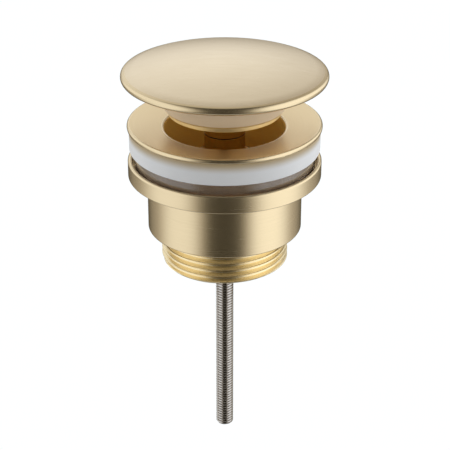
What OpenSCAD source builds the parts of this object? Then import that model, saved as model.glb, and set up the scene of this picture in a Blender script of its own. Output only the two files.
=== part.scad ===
// Press-to-open basin waste with a mushroom cap, unslotted, for a basin clamped between two gaskets.
// The axis is Z. The origin is on the axis, in the plane of the basin's surface under the upper gasket.

/* [Cap] */
// How far the cap's rim stands out beyond the flange
cap_overhang = 1.6; // [1:0.1:4]
// Thickness of the rolled rim
cap_rim = 2.9; // [2.4:0.1:3.6]
// Height of the dome above the middle of the rim
cap_rise = 5.6; // [4.4:0.1:8]
// Height of the rim's middle above the bottom of the skirt
cap_depth = 10.4; // [9.5:0.1:13]
// Wall of the pressed dome and of the skirt
cap_wall = 1.4; // [1:0.1:1.8]
// Depth of the cove behind a straight line from rim to foot
cove_bow = 2; // [1.4:0.1:2.4]
// Gap between the lip and the throat that it enters
lip_gap = 1.1; // [0.7:0.1:1.6]
// Height of the lip below the seal
lip_h = 1.4; // [0.8:0.1:2]
// How far the skirt's foot stands out beyond the lip
foot_step = 1.3; // [1:0.1:1.6]
// Thickness of the seal ring
seal_t = 0.7; // [0.5:0.1:1]

/* [Flange] */
// Diameter of the flange and of the cup
flange_d = 63; // [58:0.5:72]
// Width of the flange's face around the throat
flange_face = 12.1; // [10:0.1:13]
// Thickness of the flange at its edge
flange_edge = 1.6; // [1.4:0.1:2.6]
// Depth of the dish from the edge to the mouth
dish = 1.3; // [0.8:0.1:1.8]
// Wall of the throat tube
tube_wall = 2.4; // [1.8:0.1:2.6]
// Length of the throat tube below the basin's surface
tube_drop = 20.5; // [18:0.5:22]
// Radius of the rounded mouth
mouth_round = 1; // [0.8:0.1:1.2]
// Number of ribs in each spider
ribs = 3; // [3,4]
// Thickness of a spider rib
rib_t = 3; // [2:0.2:4]

/* [Gaskets] */
// How far the upper gasket's edge lies inside the flange's edge
gasket_inset = 0.6; // [0.2:0.1:2]
// Height of the upper gasket
upper_gasket_h = 7.4; // [6.4:0.1:9]
// Height of the lower gasket
lower_gasket_h = 6.6; // [5.6:0.1:8]
// Gap between the lower gasket and the wall of the cup
cup_gap = 0.5; // [0.4:0.1:2]

/* [Lower body] */
// Height of the cup's outside
cup_h = 5.8; // [4.8:0.1:8]
// Wall of the cup
cup_wall = 1.6; // [1.2:0.1:2.4]
// How far the cup's wall stands above its floor
cup_recess = 3.3; // [1.5:0.1:3.6]
// Wall of the barrel around the throat tube
barrel_wall = 2.9; // [2.2:0.1:4]
// Height of the barrel
barrel_h = 18.5; // [17:0.5:26]
// Diameter of the male tail thread: G 1 1/4 or G 1 1/2
tail_d = 41.91; // [41.91, 47.803]
// Length of the male tail thread
tail_h = 12; // [10:0.5:16]
// Wall of the tail, thread included
tail_wall = 2.95; // [2.4:0.05:4]

/* [Rod] */
// Diameter of the rod and of the cap's stud: M5, M6 or M8
rod_d = 6; // [5, 6, 8]
// Length of the rod
rod_len = 85.5; // [75:0.5:120]
// Wall of the lock nut at its flats
nut_wall = 2; // [1.5:0.1:2.5]
// Height of the lock nut
nut_h = 3.2; // [3:0.1:5]
// Thickness of the spring washer above the lock nut
washer_t = 1.6; // [1.2:0.1:2]

/* [Cartridge] */
// Stroke of the cap
stroke = 7; // [5.5:0.1:7.4]
// Wall of the ring nut around the post
gland_wall = 2.7; // [2.4:0.1:3]
// Length of the collar at the top of the post
collar_h = 7.2; // [5:0.1:8]
// Outside diameter of the cartridge barrel
housing_d = 21; // [20.6:0.1:22]
// Wall of the cartridge barrel
housing_wall = 1; // [0.8:0.1:1.1]
// Depth of the cartridge barrel's top below the flange's edge
housing_drop = 11.8; // [11:0.1:12.5]
// Height of the ring nut
gland_h = 3.5; // [3.2:0.1:4.5]
// Height of the plunger's keys
key_h = 2.8; // [2:0.1:3.5]
// Height of the rotor's lugs
lug_h = 3.2; // [2.4:0.1:4]
// Angle that the rotor turns in one stroke
index_turn = 36; // [30:1:38]
// Thickness of the barrel's threaded base
base_t = 5.2; // [4:0.1:6]
// Wire of the return spring
spring_wire = 0.9; // [0.7:0.1:1]
// Turns of the return spring
spring_turns = 7.5; // [6:0.5:8]

/* [Fits] */
// Radial clearance of a screwed or pushed-in piece
thread_gap = 0.05; // [0.03:0.01:0.1]
// Radial clearance of the plunger in its ring nut
slide_gap = 0.1; // [0.05:0.01:0.1]
// Clearance between pieces that move past each other
free_gap = 0.3; // [0.25:0.05:0.4]
// Clearance left at the end of a stroke
stop_gap = 0.4; // [0.3:0.05:0.5]

/* [Hidden] */
$fn = 96;

brass = "#d9c6a0";
dark_brass = "#a88a58";
white_rubber = "#dedfe1";
clear_rubber = "#a9a29a";
acetal = "#efece2";
steel = "#b3aca2";
dark_rubber = "#5a4a33";

eps = 0.01;
full_turn = 360;
chamfer = 0.4;
post_break = 0.15;
lugs = 3;
nut_sides = 6;

// Radii that several pieces share
flange_r = flange_d / 2;
cap_r = flange_r + cap_overhang;
throat_r = flange_r - flange_face;
tube_r = throat_r + tube_wall;
lip_r = throat_r - lip_gap;
rod_r = rod_d / 2;
tapped_r = rod_r + thread_gap;
housing_r = housing_d / 2;
housing_bore_r = housing_r - housing_wall;
gland_r = housing_bore_r - thread_gap;
post_r = gland_r - gland_wall - slide_gap;
sleeve_r = housing_bore_r - slide_gap;
sleeve_wall = 0.9;
track_r = sleeve_r - sleeve_wall;
key_r = track_r - free_gap;
rib_bore_r = post_r + free_gap;

// Heights of the flange
flange_low = upper_gasket_h;
flange_top = flange_low + flange_edge;
mouth_top = flange_top - dish;

// The flange is dished in even thickness, so its underside slopes as its face does
edge_round = flange_edge / 2;
dish_slope = dish / (flange_r - edge_round - throat_r - mouth_round);
function underside(radius) = flange_low - dish_slope * (flange_r - chamfer - radius);

// Heights of the cap: the skirt stops short of the rounded mouth at the end of the stroke
skirt_foot_r = lip_r + foot_step;
mouth_reach = throat_r + mouth_round - skirt_foot_r;
mouth_z = mouth_top - mouth_round + sqrt(pow(mouth_round, 2) - pow(mouth_reach, 2));
skirt_z = mouth_z + stroke + stop_gap;
lip_z = skirt_z - seal_t - lip_h;
rim_z = skirt_z + cap_depth;

// The rim's circle touches the dome's sphere from inside
rim_r = cap_rim / 2;
rim_centre = cap_r - rim_r;
dome_r = (pow(rim_centre, 2) + pow(cap_rise, 2) - pow(rim_r, 2)) / (2 * (cap_rise - rim_r));
dome_z = rim_z + cap_rise - dome_r;
dome_edge = rim_centre * dome_r / (dome_r - rim_r);

// The skirt's hem lies in the rolled rim, and the cove hangs from it
hem_t = 0.7;
hem_z = rim_z - rim_r / 2 - hem_t / 2;
hem_r = rim_centre - chamfer;
cove_top_r = rim_centre - sqrt(pow(rim_r, 2) - pow(rim_z - hem_z, 2)) - thread_gap;
cove_rise = hem_z - skirt_z;
cove_run = cove_top_r - skirt_foot_r;
cove_chord = norm([cove_run, cove_rise]);
cove_r = (pow(cove_chord / 2, 2) + pow(cove_bow, 2)) / (2 * cove_bow);
cove_back = cove_r - cove_bow;
cove_x = (cove_top_r + skirt_foot_r) / 2 + cove_back * cove_rise / cove_chord;
cove_z = (hem_z + skirt_z) / 2 - cove_back * cove_run / cove_chord;

// The inside of the skirt is a cone parallel to that straight line, a wall behind the cove
cone_back = cove_bow + cap_wall;
cone_slope = cove_run / cove_rise;
cone_foot_r = skirt_foot_r - cone_back * cove_chord / cove_rise + cap_wall * cone_slope;
cone_top_r = cone_foot_r + (cove_rise + hem_t - cap_wall) * cone_slope;
boss_wall = 5;
boss_r = rod_r + boss_wall;
boss_h = 8;
seal_bite = 0.7;
seal_bore_r = lip_r - seal_bite;

// Heights of the cartridge, from its top down
collar_low = lip_z - collar_h;
housing_top = flange_top - housing_drop;
gland_low = housing_top - gland_h;
key_top = gland_low - slide_gap * 2;
plunger_low = key_top - key_h;
lug_top = plunger_low - free_gap;
lug_low = lug_top - lug_h;
oring_r = 0.6;
seat_t = 0.8;
seat_top = lug_low - stroke - stop_gap;
floor_z = seat_top - seat_t;
base_low = floor_z - base_t;
nut_top = base_low - washer_t;
nut_low = nut_top - nut_h;

// The rotor's stem stands in the plunger and holds the spring
plunger_wall = 1.75;
plunger_bore_r = post_r - plunger_wall;
stem_r = plunger_bore_r - free_gap;
stem_wall = 0.85;
stem_bore_r = stem_r - stem_wall;
spring_r = stem_bore_r - slide_gap - spring_wire / 2;
key_root = 1;
stud_grip = 4.7;
plug_t = 1.2;
plunger_bore_top = collar_low - stud_grip - plug_t;
stem_top = plunger_bore_top - free_gap;
stem_roof = 1.2;
spring_top = stem_top - stem_roof;
spring_len = spring_top - seat_top;

// Angles of the mechanism: each sector holds one track and one rib
sector = full_turn / lugs;
latch_start = 20;
track_turn = sector / 2;
key_side = 5;
key_turn = track_turn - 2 * key_side;
lug_turn = 26;
lug_lead = 3;

// The rotor turns evenly with the stroke, so a rib ends where a lug comes round to it, less a margin
rib_margin = 0.1;
rib_clear = (track_turn - lug_lead - lug_turn) / index_turn - rib_margin;
rib_low = lug_top - stroke * rib_clear + stop_gap;
ramp = 20;
ramp_stock = 1;

// The spider's hub carries the cartridge barrel by its shoulder
hub_wall = 2.6;
hub_r = housing_r + thread_gap + hub_wall;
shoulder_drop = 7.2;
hub_top = housing_top - shoulder_drop;
hub_low = -tube_drop + chamfer;
shoulder_t = 2;
hub_ledge = 0.8;
shoulder_r = hub_r - hub_ledge;
rib_drop = 1;

// Heights and radii of the lower body
cup_r = flange_r;
cup_floor = -lower_gasket_h;
cup_top = cup_floor + cup_recess;
cup_low = cup_top - cup_h;
barrel_low = cup_low - barrel_h;
barrel_bore_r = tube_r + free_gap * 2;
barrel_r = barrel_bore_r + barrel_wall;
tail_r = tail_d / 2;
tail_low = barrel_low - tail_h;
tail_shoulder = 2.4;
tail_bore_r = tail_r - tail_wall;
screw_hub_wall = 4;
screw_hub_r = rod_r + screw_hub_wall;
screw_gap = 1;
screw_hub_top = nut_low - screw_gap;
screw_rib_inset = 1;
rib_root = 1;
lower_gasket_r = cup_r - cup_wall - cup_gap;
gasket_bore_r = barrel_bore_r + free_gap;

// A flat ring between two radii
module ring(outer, inner, low, high) {
    translate([0, 0, low])
    difference() {
        cylinder(r = outer, h = high - low);
        translate([0, 0, -eps])
        cylinder(r = inner, h = high - low + 2 * eps);
    }
}

// A sector of a ring, between two angles
module ring_sector(outer, inner, low, high, start, turn) {
    rotate([0, 0, start])
    rotate_extrude(angle = turn)
    translate([inner, low])
    square([outer - inner, high - low]);
}

// Copies spread evenly about the axis
module spread(copies, start = 0) {
    for (copy = [0 : copies - 1])
        rotate([0, 0, start + copy * full_turn / copies])
        children();
}

// One straight spider rib, from a hub out into a wall
module spider_rib(from, to, low, high) {
    translate([from, -rib_t / 2, low])
    cube([to - from, rib_t, high - low]);
}

// The half space under a plane that slopes along the turn at the angle given
module under_ramp(angle, height, slope) {
    rotate([0, 0, angle])
    translate([0, 0, height])
    rotate([slope, 0, 0])
    translate([0, -housing_d, -housing_d])
    cube([housing_d, 2 * housing_d, housing_d]);
}

// Pressed dome with a rolled rim that grips the hem of the skirt
module cap_dome() {
    color(brass)
    difference() {
        rotate_extrude()
        union() {
            intersection() {
                difference() {
                    translate([0, dome_z])
                    circle(r = dome_r, $fn = full_turn);
                    translate([0, dome_z])
                    circle(r = dome_r - cap_wall, $fn = full_turn);
                }
                translate([0, rim_z])
                square([dome_edge, cap_rise + cap_rim]);
            }
            translate([rim_centre, rim_z])
            circle(r = rim_r);
        }
        ring(hem_r, hem_r - cap_rim, hem_z, hem_z + hem_t);
    }
}

// Cove-shaped underside with the plug lip, the seal's groove and the boss for the stud
module cap_skirt() {
    color(brass)
    rotate_extrude()
    difference() {
        polygon([
            [tapped_r, lip_z], [lip_r, lip_z], [lip_r, lip_z + lip_h], [seal_bore_r, lip_z + lip_h],
            [seal_bore_r, skirt_z], [skirt_foot_r, skirt_z], [cove_top_r, hem_z], [hem_r, hem_z],
            [hem_r, hem_z + hem_t], [cone_top_r, hem_z + hem_t], [cone_foot_r, skirt_z + cap_wall],
            [boss_r, skirt_z + cap_wall], [boss_r, lip_z + boss_h + cap_wall],
            [0, lip_z + boss_h + cap_wall], [0, lip_z + boss_h], [tapped_r, lip_z + boss_h]
        ]);
        intersection() {
            translate([cove_x, cove_z])
            circle(r = cove_r, $fn = full_turn);
            translate([seal_bore_r, skirt_z])
            square([cove_top_r - seal_bore_r, cove_rise + hem_t]);
        }
    }
}

// Thin flat seal in the groove between lip and skirt
module cap_seal() {
    color(dark_rubber)
    ring(skirt_foot_r - 2 * free_gap, seal_bore_r + thread_gap, skirt_z - seal_t, skirt_z);
}

// Stud that screws into the plunger, through the collar and into the cap
module cap_stud() {
    color(steel)
    translate([0, 0, collar_low - stud_grip + thread_gap])
    cylinder(r = rod_r, h = stud_grip + collar_h + boss_h - free_gap);
}

// Collar clamped between the cap and the plunger
module neck_collar() {
    color(dark_brass)
    rotate_extrude()
    polygon([
        [tapped_r, collar_low], [post_r - post_break, collar_low], [post_r, collar_low + post_break],
        [post_r, lip_z], [tapped_r, lip_z]
    ]);
}

// Plunger with a bore for the rotor's stem and keys that run in the sleeve's tracks
module plunger() {
    color(dark_brass)
    union() {
        rotate_extrude()
        polygon([
            [tapped_r, collar_low], [post_r - post_break, collar_low], [post_r, collar_low - post_break],
            [post_r, plunger_low], [plunger_bore_r, plunger_low], [plunger_bore_r, plunger_bore_top],
            [0, plunger_bore_top], [0, collar_low - stud_grip], [tapped_r, collar_low - stud_grip]
        ]);
        spread(lugs, latch_start)
        ring_sector(key_r, post_r - key_root, plunger_low, key_top, key_side, key_turn);
    }
}

// Rotor with a hollow stem for the spring and ramped lugs that latch under the sleeve's ribs
module index_rotor() {
    color(acetal)
    union() {
        rotate_extrude()
        polygon([
            [0, stem_top], [stem_r - chamfer, stem_top], [stem_r, stem_top - chamfer], [stem_r, lug_top],
            [post_r - thread_gap, lug_top], [post_r - thread_gap, lug_low], [stem_bore_r, lug_low],
            [stem_bore_r, spring_top], [0, spring_top]
        ]);
        spread(lugs, latch_start)
        intersection() {
            ring_sector(key_r, stem_r, lug_low, lug_top + ramp_stock, lug_lead, lug_turn);
            under_ramp(lug_lead, lug_top, -ramp);
        }
    }
}

// Cross-section of the spring's wire by a level plane: round wire on a helix of this pitch
function wire_outline(pitch, steps) = [
    for (step = [0 : steps - 1])
        let (
            around = full_turn * step / steps,
            at = spring_r + spring_wire / 2 * cos(around),
            bearing = full_turn * spring_wire / 2 / pitch * sin(around)
        )
        [at * cos(bearing), at * sin(bearing)]
];

// Coil spring from its seat up into the rotor's stem, with ends ground flat
module return_spring() {
    wire_steps = 12;
    slices_per_turn = 20;
    color(steel)
    translate([0, 0, seat_top])
    linear_extrude(
        height = spring_len, twist = -full_turn * spring_turns,
        slices = slices_per_turn * spring_turns, $fn = wire_steps
    )
    polygon(wire_outline(spring_len / spring_turns, wire_steps));
}

// Disc that closes the rod's hole under the spring
module spring_seat() {
    color(steel)
    translate([0, 0, floor_z])
    cylinder(r = sleeve_r, h = seat_t);
}

// Sleeve with ribs between its tracks, and ramped rib ends that the rotor's lugs climb
module cam_sleeve() {
    color(acetal)
    union() {
        ring(sleeve_r, track_r, seat_top, gland_low);
        spread(lugs, latch_start)
        difference() {
            ring_sector(
                track_r + sleeve_wall / 2, rib_bore_r, rib_low - ramp_stock, gland_low, track_turn, track_turn
            );
            under_ramp(track_turn, rib_low, ramp);
        }
    }
}

// Cartridge barrel with the shoulder that rests on the spider's hub and the threaded base
module cartridge_barrel() {
    color(dark_brass)
    rotate_extrude()
    polygon([
        [housing_bore_r, housing_top], [housing_r - chamfer, housing_top],
        [housing_r, housing_top - chamfer], [housing_r, hub_top + shoulder_t],
        [shoulder_r, hub_top + shoulder_t], [shoulder_r, hub_top], [housing_r, hub_top],
        [housing_r, base_low + chamfer], [housing_r - chamfer, base_low], [tapped_r, base_low],
        [tapped_r, floor_z], [housing_bore_r, floor_z]
    ]);
}

// Ring nut over the plunger, with a wiper groove and two spanner slots
module gland_nut() {
    groove_h = 2 * oring_r + slide_gap;
    groove_r = post_r + 2 * (oring_r + slide_gap);
    slot_w = 2;
    slot_depth = 1.1;
    middle = (housing_top + gland_low) / 2;
    color(dark_brass)
    difference() {
        ring(gland_r, post_r + slide_gap, gland_low, housing_top);
        ring(groove_r, post_r - slide_gap, middle - groove_h / 2, middle + groove_h / 2);
        translate([-housing_r, -slot_w / 2, housing_top - slot_depth])
        cube([housing_d, slot_w, slot_depth + eps]);
    }
}

// Wiper ring in the ring nut's groove
module gland_oring() {
    color(dark_rubber)
    rotate_extrude()
    translate([post_r + slide_gap + oring_r, (housing_top + gland_low) / 2])
    circle(r = oring_r);
}

// Dished flange with a rounded edge and mouth, the throat tube and the spider that holds the cartridge
module waste_flange() {
    color(brass)
    union() {
        rotate_extrude()
        union() {
            polygon([
                [throat_r, -tube_drop], [tube_r - chamfer, -tube_drop], [tube_r, chamfer - tube_drop],
                [tube_r, underside(tube_r)], [flange_r - chamfer, flange_low], [flange_r, flange_low + chamfer],
                [flange_r, flange_top - edge_round], [flange_r - edge_round, flange_top],
                [throat_r + mouth_round, mouth_top], [throat_r, mouth_top - mouth_round]
            ]);
            translate([flange_r - edge_round, flange_top - edge_round])
            circle(r = edge_round);
            translate([throat_r + mouth_round, mouth_top - mouth_round])
            circle(r = mouth_round);
        }
        ring(hub_r, housing_r + thread_gap, hub_low, hub_top);
        spread(ribs, full_turn / ribs / 2)
        spider_rib(hub_r - hub_wall / 2, throat_r + tube_wall / 2, hub_low, hub_top - rib_drop);
    }
}

// Thick gasket between the dished flange and the basin
module flange_gasket() {
    soft_round = 0.8;
    outer = flange_r - gasket_inset;
    inner = tube_r + free_gap;
    color(white_rubber)
    rotate_extrude()
    polygon([
        [inner, 0], [outer - soft_round, 0], [outer, soft_round], [outer, underside(outer)],
        [inner, underside(inner)]
    ]);
}

// Threaded rod, screwed into the cartridge barrel's base
module threaded_rod() {
    tip = 0.8;
    color(steel)
    rotate_extrude()
    polygon([
        [0, floor_z - thread_gap], [rod_r, floor_z - thread_gap], [rod_r, floor_z - rod_len + tip],
        [rod_r - tip, floor_z - rod_len], [0, floor_z - rod_len]
    ]);
}

// Split spring washer between the barrel's base and the lock nut
module rod_washer() {
    washer_wall = 2.9;
    split = 12;
    color(steel)
    ring_sector(
        rod_r + washer_wall, rod_r + slide_gap, nut_top, base_low, latch_start, full_turn - split
    );
}

// Hexagon nut that locks the rod in the barrel's base, with chamfered corners
module rod_locknut() {
    flat_r = rod_r + nut_wall;
    corner_r = flat_r / cos(full_turn / 2 / nut_sides);
    lead = corner_r - flat_r;
    color(steel)
    difference() {
        intersection() {
            translate([0, 0, nut_low])
            cylinder(r = corner_r, h = nut_h, $fn = nut_sides);
            rotate_extrude()
            polygon([
                [0, nut_low], [flat_r, nut_low], [corner_r, nut_low + lead / 2],
                [corner_r, nut_top - lead / 2], [flat_r, nut_top], [0, nut_top]
            ]);
        }
        translate([0, 0, nut_low - eps])
        cylinder(r = tapped_r, h = nut_h + 2 * eps);
    }
}

// Clear gasket that stands on the cup's floor and meets the basin from below
module lower_gasket() {
    color(clear_rubber)
    ring(lower_gasket_r, gasket_bore_r, cup_floor, 0);
}

// Turned cup, barrel and threaded tail in one piece, with the spider that runs on the rod
module lower_body() {
    lead = 1;
    rim_round = cup_wall / 2;
    color(brass)
    union() {
        rotate_extrude()
        union() {
            polygon([
                [barrel_bore_r, cup_floor], [cup_r - cup_wall, cup_floor],
                [cup_r - cup_wall, cup_top - rim_round], [cup_r, cup_top - rim_round],
                [cup_r, cup_low + chamfer], [cup_r - chamfer, cup_low], [barrel_r, cup_low],
                [barrel_r, barrel_low + chamfer], [barrel_r - chamfer, barrel_low],
                [tail_r, barrel_low], [tail_r, tail_low + lead], [tail_r - lead, tail_low],
                [tail_bore_r, tail_low], [tail_bore_r, barrel_low + tail_shoulder],
                [barrel_bore_r, barrel_low + tail_shoulder]
            ]);
            translate([cup_r - rim_round, cup_top - rim_round])
            circle(r = rim_round);
        }
        ring(screw_hub_r, rod_r + thread_gap, tail_low, screw_hub_top);
        spread(ribs, full_turn / ribs / 2)
        spider_rib(
            screw_hub_r - rib_root, tail_bore_r + rib_root,
            tail_low + screw_rib_inset, screw_hub_top - screw_rib_inset
        );
    }
}

cap_dome();
cap_skirt();
cap_seal();
cap_stud();
neck_collar();
plunger();
index_rotor();
return_spring();
spring_seat();
cam_sleeve();
cartridge_barrel();
gland_nut();
gland_oring();
waste_flange();
flange_gasket();
threaded_rod();
rod_washer();
rod_locknut();
lower_gasket();
lower_body();
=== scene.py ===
import math

import bmesh
import bpy
from mathutils import Matrix, Vector


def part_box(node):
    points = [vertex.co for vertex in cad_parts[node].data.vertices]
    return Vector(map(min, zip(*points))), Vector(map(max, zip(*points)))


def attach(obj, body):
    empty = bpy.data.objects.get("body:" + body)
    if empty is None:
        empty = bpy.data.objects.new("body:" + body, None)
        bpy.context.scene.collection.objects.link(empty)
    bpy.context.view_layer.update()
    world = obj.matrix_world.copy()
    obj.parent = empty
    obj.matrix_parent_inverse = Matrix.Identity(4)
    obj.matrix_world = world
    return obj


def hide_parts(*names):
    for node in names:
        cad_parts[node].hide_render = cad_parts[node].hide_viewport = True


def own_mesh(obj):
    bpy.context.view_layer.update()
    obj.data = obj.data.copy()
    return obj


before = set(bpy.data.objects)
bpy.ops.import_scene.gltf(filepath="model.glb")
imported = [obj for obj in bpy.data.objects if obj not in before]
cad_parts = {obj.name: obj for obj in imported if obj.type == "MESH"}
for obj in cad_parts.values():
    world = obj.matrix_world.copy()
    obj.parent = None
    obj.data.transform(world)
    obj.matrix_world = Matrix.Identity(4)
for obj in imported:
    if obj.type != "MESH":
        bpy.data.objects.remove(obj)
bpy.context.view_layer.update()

# Waste flange
# The dished flange and its throat tube are one brass turning, brushed on the lathe and plated in satin
# champagne gold. Three ribs inside the tube carry the hub that the cartridge is dropped into.
MM = 0.001
SIZE_STEP = 0.005
LATHE_STEPS = 160
WELD = 0.001
SHARP_ANGLE = math.radians(35)


def round_size(node):
    """Outer radius, lowest and highest level of a round CAD node in millimetres, to the size step."""
    low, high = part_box(node)
    reach = max(high.x, high.y, -low.x, -low.y)
    return [SIZE_STEP * round(metres / MM / SIZE_STEP) for metres in (reach, low.z, high.z)]


FLANGE_R, TUBE_LOW, FLANGE_TOP = round_size("waste_flange")
FLANGE_EDGE = 1.6
FLANGE_LOW = FLANGE_TOP - FLANGE_EDGE
FLANGE_CHAMFER = 0.4
EDGE_ROUND = FLANGE_EDGE / 2
EDGE_CENTRE_R = FLANGE_R - EDGE_ROUND
TUBE_R = 21.8
TUBE_WALL = 2.4
THROAT_R = TUBE_R - TUBE_WALL
DISH = 1.3
MOUTH_TOP = FLANGE_TOP - DISH
MOUTH_ROUND = 1.0
MOUTH_CENTRE_R = THROAT_R + MOUTH_ROUND
DISH_SLOPE = DISH / (EDGE_CENTRE_R - MOUTH_CENTRE_R)
HUB_BORE_R = 10.55
HUB_WALL = 2.6
HUB_R = HUB_BORE_R + HUB_WALL
HUB_LOW = TUBE_LOW + FLANGE_CHAMFER
HUB_H = 10.1
HUB_TOP = HUB_LOW + HUB_H
SPIDER_ANGLES = (60, 180, 300)
RIB_WIDTH = 3.0
RIB_DROP = 1.0
FLANGE_BREAK = 0.3


def underside(r):
    """Height of the dished flange's underside at a radius."""
    return FLANGE_LOW - DISH_SLOPE * (FLANGE_R - FLANGE_CHAMFER - r)


def arc(r, z, radius, start, end, steps):
    """Points of an arc in the half plane beside the axis, with its angles in degrees."""
    turns = [math.radians(start + (end - start) * step / steps) for step in range(steps + 1)]
    return [(r + radius * math.cos(turn), z + radius * math.sin(turn)) for turn in turns]


def sweep(bm, geom, turns, steps, rise=0.0, closed=False):
    """Sweeps geometry round the axis by a number of turns, with a rise over all of them."""
    bmesh.ops.spin(
        bm, geom=geom, cent=(0, 0, 0), axis=(0, 0, 1), dvec=(0, 0, rise / steps),
        angle=math.tau * turns, steps=steps, use_merge=closed,
    )
    bmesh.ops.remove_doubles(bm, verts=bm.verts, dist=WELD)


def turn_on_lathe(bm, outline, closed=True):
    """Turns an outline of (r, z) points about the axis. An open one starts and ends on the axis."""
    points = [bm.verts.new((r, 0, z)) for r, z in outline]
    ends = points[1:] + points[:1] if closed else points[1:]
    edges = [bm.edges.new(pair) for pair in zip(points, ends)]
    sweep(bm, points + edges, 1, LATHE_STEPS, closed=True)


def soften_edges(bm, width, steps=2):
    """Breaks every sharp edge with a small round, as tumbling and brushing do."""
    bm.normal_update()
    sharp = [edge for edge in bm.edges if edge.is_manifold and edge.calc_face_angle(0) > SHARP_ANGLE]
    bmesh.ops.bevel(
        bm, geom=sharp, offset=width, segments=steps, profile=0.5, affect='EDGES',
        clamp_overlap=True, material=-1,
    )


def off_axis(point):
    """Distance of a point from the axis."""
    return math.hypot(point.x, point.y)


def add_rib(bm, inner, outer, low, high, angle):
    """One straight spider rib from the hub out into the wall."""
    made = bmesh.ops.create_cube(bm, size=1)["verts"]
    bmesh.ops.scale(bm, vec=(outer - inner, RIB_WIDTH, high - low), verts=made)
    bmesh.ops.translate(bm, vec=((inner + outer) / 2, 0, (low + high) / 2), verts=made)
    turn = Matrix.Rotation(math.radians(angle), 3, 'Z')
    bmesh.ops.rotate(bm, cent=(0, 0, 0), matrix=turn, verts=made)


def make_piece(name, bm, finishes, body, cad_node):
    """Turns a mesh in millimetres into a piece that rides on a body and stands for its CAD node."""
    bmesh.ops.recalc_face_normals(bm, faces=bm.faces)
    bmesh.ops.scale(bm, vec=(MM, MM, MM), verts=bm.verts)
    mesh = bpy.data.meshes.new(name)
    bm.to_mesh(mesh)
    bm.free()
    mesh.shade_smooth()
    mesh.set_sharp_from_angle(angle=SHARP_ANGLE)
    for finish in finishes:
        mesh.materials.append(finish)
    piece = bpy.data.objects.new(name, mesh)
    bpy.context.scene.collection.objects.link(piece)
    piece.modifiers.new("Even shading", 'WEIGHTED_NORMAL').keep_sharp = True
    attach(piece, body)
    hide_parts(cad_node)
    return piece


def add_node(tree, kind, **settings):
    """Adds a node with its properties set."""
    made = tree.nodes.new(kind)
    for key, value in settings.items():
        setattr(made, key, value)
    return made


def link(tree, source, target):
    """Joins an output socket to an input socket."""
    tree.links.new(source, target)


def compute(tree, operation, first, second=None, third=None):
    """One step of arithmetic on sockets or numbers."""
    step = add_node(tree, 'ShaderNodeMath', operation=operation)
    for socket, value in zip(step.inputs, (first, second, third)):
        if isinstance(value, (int, float)):
            socket.default_value = value
        elif value is not None:
            link(tree, value, socket)
    return step.outputs[0]


LINE_FINENESS = 9000
LINE_LENGTH = 0.7
BRUSH_DETAIL = 3
BRUSH_ROUGHNESS = 0.65
BRUSH_DEPTH = 0.03 * MM


def lathe_lines():
    """Group with fine lines that run round the axis, as a brush on a lathe leaves them."""
    group = bpy.data.node_groups.new("lathe_lines", 'ShaderNodeTree')
    group.interface.new_socket("Lines", in_out='OUTPUT', socket_type='NodeSocketFloat')
    outputs = add_node(group, 'NodeGroupOutput')
    place = add_node(group, 'ShaderNodeTexCoord')
    apart = add_node(group, 'ShaderNodeSeparateXYZ')
    level = add_node(group, 'ShaderNodeVectorMath', operation='MULTIPLY')
    level.inputs[1].default_value = (1, 1, 0)
    radius = add_node(group, 'ShaderNodeVectorMath', operation='LENGTH')
    around = add_node(group, 'ShaderNodeVectorMath', operation='NORMALIZE')
    bearing = add_node(group, 'ShaderNodeSeparateXYZ')
    spot = add_node(group, 'ShaderNodeCombineXYZ')
    stretched = add_node(group, 'ShaderNodeVectorMath', operation='MULTIPLY')
    stretched.inputs[1].default_value = (LINE_FINENESS, LINE_FINENESS, LINE_LENGTH)
    noise = add_node(group, 'ShaderNodeTexNoise', noise_dimensions='4D')
    noise.inputs["Scale"].default_value = 1
    noise.inputs["Detail"].default_value = BRUSH_DETAIL
    noise.inputs["Roughness"].default_value = BRUSH_ROUGHNESS
    link(group, place.outputs["Object"], apart.inputs[0])
    link(group, place.outputs["Object"], level.inputs[0])
    link(group, level.outputs[0], radius.inputs[0])
    link(group, level.outputs[0], around.inputs[0])
    link(group, around.outputs[0], bearing.inputs[0])
    link(group, radius.outputs["Value"], spot.inputs["X"])
    link(group, apart.outputs["Z"], spot.inputs["Y"])
    link(group, bearing.outputs["X"], spot.inputs["Z"])
    link(group, spot.outputs[0], stretched.inputs[0])
    link(group, stretched.outputs[0], noise.inputs["Vector"])
    link(group, compute(group, 'MULTIPLY', bearing.outputs["Y"], LINE_LENGTH), noise.inputs["W"])
    link(group, noise.outputs["Fac"], outputs.inputs["Lines"])
    return group


LATHE_LINES = lathe_lines()


def new_material(name):
    """A node material, its tree and its Principled BSDF."""
    material = bpy.data.materials.new(name)
    material.use_nodes = True
    return material, material.node_tree, material.node_tree.nodes["Principled BSDF"]


# Most of a noise lies in this range, so tone and gloss are spread over it.
GRAIN_LOW = 0.3
GRAIN_HIGH = 0.7


def tone(tree, grain, dark, light):
    """Colours between two tones by a grain that changes over the surface."""
    ramp = add_node(tree, 'ShaderNodeValToRGB')
    ramp.color_ramp.elements[0].position = GRAIN_LOW
    ramp.color_ramp.elements[0].color = (*dark, 1)
    ramp.color_ramp.elements[1].position = GRAIN_HIGH
    ramp.color_ramp.elements[1].color = (*light, 1)
    link(tree, grain, ramp.inputs["Fac"])
    return ramp.outputs["Color"]


def gloss(tree, grain, rough, smooth):
    """Roughness between two levels, rough where the grain is dark and smooth where it is light."""
    mapped = add_node(tree, 'ShaderNodeMapRange')
    mapped.inputs["From Min"].default_value = GRAIN_LOW
    mapped.inputs["From Max"].default_value = GRAIN_HIGH
    mapped.inputs["To Min"].default_value = rough
    mapped.inputs["To Max"].default_value = smooth
    link(tree, grain, mapped.inputs["Value"])
    return mapped.outputs["Result"]


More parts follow.
